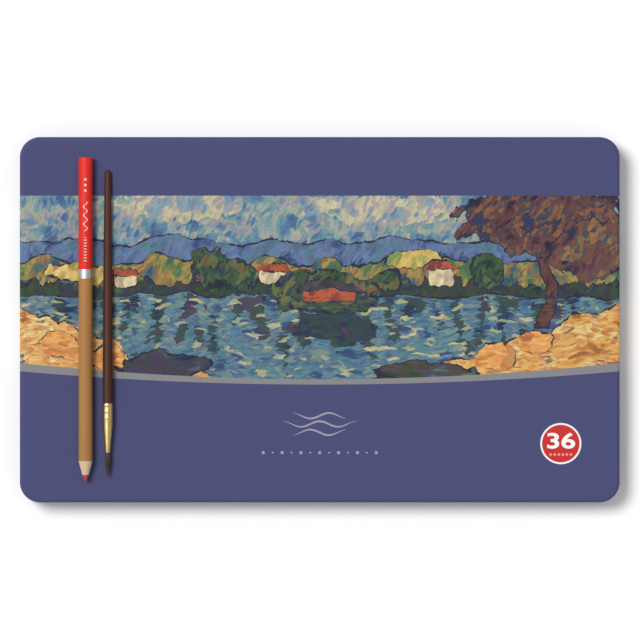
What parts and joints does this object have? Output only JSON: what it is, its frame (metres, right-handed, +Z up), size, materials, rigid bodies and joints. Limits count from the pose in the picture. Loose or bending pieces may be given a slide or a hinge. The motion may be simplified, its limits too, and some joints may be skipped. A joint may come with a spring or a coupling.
{
  "type": "watercolor pencil set in a hinged tin",
  "caption": "Flat hinged tin with a printed lid, holding round watercolor pencils in a grooved tray, with a red pencil and a fine brush lying on the lid.",
  "frame": {"origin": "centre of the closed tin, on the surface it stands on", "axes": "+X along the tin, +Y towards the hinges at the back, +Z up"},
  "size_m": [0.325, 0.198, 0.0237],
  "materials": {
    "printed_lid": "satin printed tinplate",
    "lacquered_tin": "satin lacquered tinplate",
    "steel_wire": "drawn wire",
    "white_plastic": "formed sheet",
    "white_foam": "soft closed-cell foam",
    "painted_barrel": "satin lacquer on wood",
    "red_core": "matt pigment core",
    "silver_foil": "bright foil",
    "red_lacquer": "gloss dipped lacquer",
    "dark_handle": "gloss dark lacquer on wood",
    "brass_ferrule": "polished and crimped",
    "brush_hair": "natural hair",
    "pencil_lacquer": "satin lacquer on wood"
  },
  "bodies": {
    "base": {"base_pan": "lacquered_tin", "hinge_pin_left": "steel_wire", "hinge_pin_right": "steel_wire", "pencil_tray": "white_plastic", "pencil_01_white": "pencil_lacquer", "pencil_02_cream": "pencil_lacquer", "pencil_03_lemon": "pencil_lacquer", "pencil_04_yellow": "pencil_lacquer", "pencil_05_gold": "pencil_lacquer", "pencil_06_apricot": "pencil_lacquer", "pencil_07_orange": "pencil_lacquer", "pencil_08_vermilion": "pencil_lacquer", "pencil_10_crimson": "pencil_lacquer", "pencil_11_salmon": "pencil_lacquer", "pencil_12_rose": "pencil_lacquer", "pencil_13_magenta": "pencil_lacquer", "pencil_14_purple": "pencil_lacquer", "pencil_15_violet": "pencil_lacquer", "pencil_16_indigo": "pencil_lacquer", "pencil_17_ultramarine": "pencil_lacquer", "pencil_18_royal_blue": "pencil_lacquer", "pencil_19_sky_blue": "pencil_lacquer", "pencil_20_turquoise": "pencil_lacquer", "pencil_21_teal": "pencil_lacquer", "pencil_22_emerald": "pencil_lacquer", "pencil_23_leaf_green": "pencil_lacquer", "pencil_24_light_green": "pencil_lacquer", "pencil_25_moss": "pencil_lacquer", "pencil_26_olive": "pencil_lacquer", "pencil_27_dark_green": "pencil_lacquer", "pencil_28_ochre": "pencil_lacquer", "pencil_29_sand": "pencil_lacquer", "pencil_30_terracotta": "pencil_lacquer", "pencil_31_chestnut": "pencil_lacquer", "pencil_32_dark_brown": "pencil_lacquer", "pencil_33_light_grey": "pencil_lacquer", "pencil_34_mid_grey": "pencil_lacquer", "pencil_35_dark_grey": "pencil_lacquer", "pencil_36_black": "pencil_lacquer"},
    "lid": {"lid_pan": "printed_lid", "foam_pad": "white_foam"},
    "loose_pencil": {"loose_pencil_barrel": "painted_barrel", "loose_pencil_cap": "red_lacquer", "loose_pencil_core": "red_core", "loose_pencil_ring": "silver_foil"},
    "brush": {"brush_ferrule": "brass_ferrule", "brush_hair": "brush_hair", "brush_handle": "dark_handle"}
  },
  "joints": [
    {"name": "lid_hinge", "type": "hinge", "parent": "base", "child": "lid", "pos_m": [0, 0.09804, 0.007], "axis": [-1, 0, 0], "range_deg": [0, 105]},
    {"name": "pencil_lift", "type": "slide", "parent": "lid", "child": "loose_pencil", "axis": [0, 0, 1], "range_m": [0, 0.04]},
    {"name": "brush_lift", "type": "slide", "parent": "lid", "child": "brush", "axis": [0, 0, 1], "range_m": [0, 0.04]}
  ]
}
